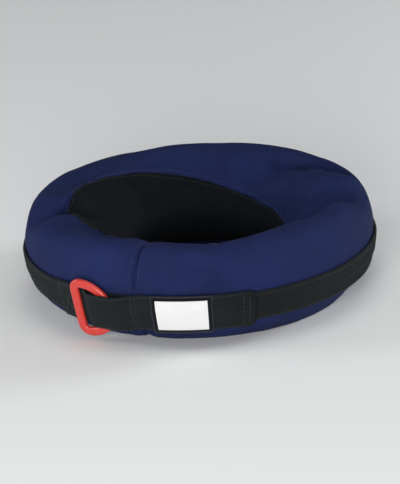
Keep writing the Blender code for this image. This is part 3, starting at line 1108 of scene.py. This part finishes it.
# %% Sew along a line
def along_line(points, normals, step, closed):
    """Points, directions and normals at even steps along a line."""
    if closed:
        points = np.concatenate([points, points[:1]])
        normals = np.concatenate([normals, normals[:1]])
    length = np.concatenate([[0], np.cumsum(np.linalg.norm(points[1:] - points[:-1], axis=1))])
    count = max(1, int(length[-1] / step))
    spots = (np.arange(count) + 0.5) * length[-1] / count

    def pick(table, at):
        return np.stack([np.interp(at, length, table[:, k]) for k in range(3)], axis=1)

    way = pick(points, np.minimum(spots + step * 0.3, length[-1])) - pick(points, np.maximum(spots - step * 0.3, 0))
    way /= np.linalg.norm(way, axis=1, keepdims=True)
    up = pick(normals, spots)
    up -= way * (up * way).sum(axis=1, keepdims=True)
    up /= np.linalg.norm(up, axis=1, keepdims=True)
    return pick(points, spots), way, up


def sew(name, lines, material, length=0.0029, gap=0.0011, thick=0.00060):
    """Copies the stitch along each line. A line is its points, its normals and whether it closes."""
    verts, faces = [], []
    for points, normals, closed in lines:
        spots, way, up = along_line(np.array(points), np.array(normals), length + gap, closed)
        side = np.cross(up, way)
        for spot, x, z, y in zip(spots, way, up, side):
            start = len(verts)
            shape = STITCH[:, :1] * x * length + STITCH[:, 1:2] * y * thick + STITCH[:, 2:] * z * thick
            verts += (spot + shape).tolist()
            faces += [tuple(start + i for i in face) for face in STITCH_FACES]
    mesh = bpy.data.meshes.new(name)
    mesh.from_pydata(verts, [], faces)
    item = bpy.data.objects.new(name, mesh)
    bpy.context.scene.collection.objects.link(item)
    mesh.shade_smooth()
    mesh.materials.append(material)
    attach(item, "root")
    print(name, len(faces) // len(STITCH_FACES), "stitches,", len(faces), "faces")
    return item


# %% [markdown]
# The rim seam and the seam underneath are top-stitched on both sides, and so are the two lips
# of the slit. Rows of the cloth's own grid give lines that lie exactly on it.

# %% Sew the cover
def row_line(row):
    return skin[:, row], skin_normals[:, row], True


def slit_line(side, first, last):
    """A line beside the slit, at the same distance from it all the way."""
    points, normals = [], []
    for row in range(first, last):
        out = float(np.linalg.norm(skin[slit_column, row, :2] - np.array(AXIS[:2])))
        wanted = turn_angle[slit_column] + side * 0.0042 / out
        points.append([np.interp(wanted, turn_angle, skin[:, row, k]) for k in range(3)])
        normals.append([np.interp(wanted, turn_angle, skin_normals[:, row, k]) for k in range(3)])
    return points, normals, False


above_band = int(np.searchsorted(row_place, BAND_HALF + 0.004))
below_band = int(np.searchsorted(row_place, girth - BAND_HALF - 0.004))
sew("rim_seam_thread", [row_line(RIM - 1)], NAVY_THREAD)
sew("rim_seam_inner_thread", [row_line(RIM + 2)], GREY_THREAD)
sew("under_seam_thread", [row_line(UNDER - 1), row_line(UNDER + 1)], GREY_THREAD)
slit_runs = ((above_band, RIM - 1), (UNDER + 2, below_band))
slit_lines = [slit_line(side, first, last) for side in (-1, 1) for first, last in slit_runs]
sew("slit_thread", slit_lines, NAVY_THREAD)

# %% [markdown]
# The band has a row near each edge. The strap has one near each edge too, a double row straight
# across where it is tacked to the band, a box where it starts and a row on its hem.

# %% Sew the band and the strap
def strip_spot(face, back, length, share):
    """Point and outward direction on the face of a strip, at a length along it and a share across it."""
    middle = face[:, face.shape[1] // 2]
    lengths = np.concatenate([[0], np.cumsum(np.linalg.norm(middle[1:] - middle[:-1], axis=1))])
    column = float(np.interp(length, lengths, np.arange(len(lengths))))
    row = share * (face.shape[1] - 1)
    found = []
    for table in (face, back):
        line = smooth_along(table, [column])[0]
        found.append(smooth_along(line, [row])[0])
    out = found[0] - found[1]
    return found[0], out / np.linalg.norm(out)


def strip_line(face, back, corners, step=0.003, lift=0.0):
    """A line of stitches through corners given as (length, share)."""
    width = float(np.linalg.norm(face[0, -1] - face[0, 0]))
    points, normals = [], []
    for (a, b), (c, d) in zip(corners, corners[1:]):
        parts = max(1, math.ceil(math.hypot(c - a, (d - b) * width) / step))
        for k in range(parts + 1):
            spot, out = strip_spot(face, back, a + (c - a) * k / parts, b + (d - b) * k / parts)
            points.append(spot + out * lift)
            normals.append(out)
    return points, normals, False


def strip_length(face):
    middle = face[:, face.shape[1] // 2]
    return float(np.linalg.norm(middle[1:] - middle[:-1], axis=1).sum())


def band_line(share):
    points, normals = [], []
    for face, back in zip(band_face, band_back):
        spot = smooth_along(face, [share * (len(face) - 1)])[0]
        behind = smooth_along(back, [share * (len(back) - 1)])[0]
        points.append(spot)
        normals.append((spot - behind) / np.linalg.norm(spot - behind))
    fine_places = np.arange(0, COLUMNS, 0.25)
    points, normals = (smooth_along(np.array(table), fine_places, True) for table in (points, normals))
    return points, normals, True


sew("band_thread", [band_line(0.11), band_line(0.89)], GREY_THREAD)
STRAP_LENGTH = strip_length(strap_face)
TACK = 0.0865  # from the strap's start to the rows across it
first = 0.003
last = STRAP_LENGTH - 0.0035
box = [(first, 0.1), (0.020, 0.1), (0.020, 0.9), (first, 0.9), (first, 0.1), (0.020, 0.9)]
strap_lines = [strip_line(strap_face, strap_back, line) for line in (
    box, [(first, 0.9), (0.020, 0.1)],
    [(0.036, 0.075), (TACK - 0.002, 0.075)], [(0.036, 0.925), (TACK - 0.002, 0.925)],
    [(TACK + 0.004, 0.075), (last - 0.012, 0.075)], [(TACK + 0.004, 0.925), (last - 0.012, 0.925)],
    [(TACK, 0.06), (TACK, 0.94)], [(TACK + 0.0032, 0.06), (TACK + 0.0032, 0.94)],
)]
strap_lines.append(strip_line(strap_face, strap_back, [(last - 0.0075, 0.10), (last - 0.0075, 0.90)], lift=0.0008))
strap_lines.append(strip_line(strap_face, strap_back, [(last - 0.0015, 0.14), (last - 0.0015, 0.86)], lift=0.0008))
sew("strap_thread", strap_lines, GREY_THREAD)

# %% [markdown]
# The patch is sewn down near its edge, and the black cloth behind it has an overlocked edge:
# thread wound round and round the cut edge. A curve through the four corners, thicker and
# thinner by turns, gives the ridges of the thread.

# %% Edge the label
def overlocked_edge(face, back, radius=0.00105, turn=0.0010):
    whole = strip_length(face)
    corners = [(0, 0), (whole, 0), (whole, 1), (0, 1), (0, 0)]
    points, normals, _ = strip_line(face, back, corners, step=0.001)
    spots, _, up = along_line(np.array(points), np.array(normals), turn / 2, False)
    data = bpy.data.curves.new("label_edge", "CURVE")
    data.dimensions = "3D"
    data.bevel_depth = radius
    data.bevel_resolution = 2
    line = data.splines.new("POLY")
    line.points.add(len(spots) - 1)
    for index, (point, spot, out) in enumerate(zip(line.points, spots, up)):
        point.co = (*(spot - out * 0.0003), 1)
        point.radius = 1.0 if index % 2 else 0.80
    line.use_cyclic_u = True
    item = bpy.data.objects.new("label_edge_thread", data)
    bpy.context.scene.collection.objects.link(item)
    deselect()
    item.select_set(True)
    bpy.context.view_layer.objects.active = item
    bpy.ops.object.convert(target="MESH")
    item = bpy.context.object
    item.data.materials.clear()
    item.data.materials.append(BLACK_THREAD)
    bpy.ops.object.shade_smooth()
    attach(item, "root")
    print(item.name, len(item.data.polygons), "faces")
    return item


overlocked_edge(backing_face, backing_back)
whole = strip_length(patch_face)
border = [(0.0018, 0.06), (whole - 0.0018, 0.06), (whole - 0.0018, 0.94), (0.0018, 0.94), (0.0018, 0.06)]
patch_lines = [strip_line(patch_face, patch_back, border, step=0.002)]
sew("patch_thread", patch_lines, WHITE_THREAD, 0.0022, 0.0009, 0.00045)

# %% [markdown]
# Last, the size of the measured model is printed. Dressing may not change the size of the collar.

# %% Print the measured size
print("model box", [round(b - a, 4) for a, b in zip(CAD_LOW, CAD_HIGH)])
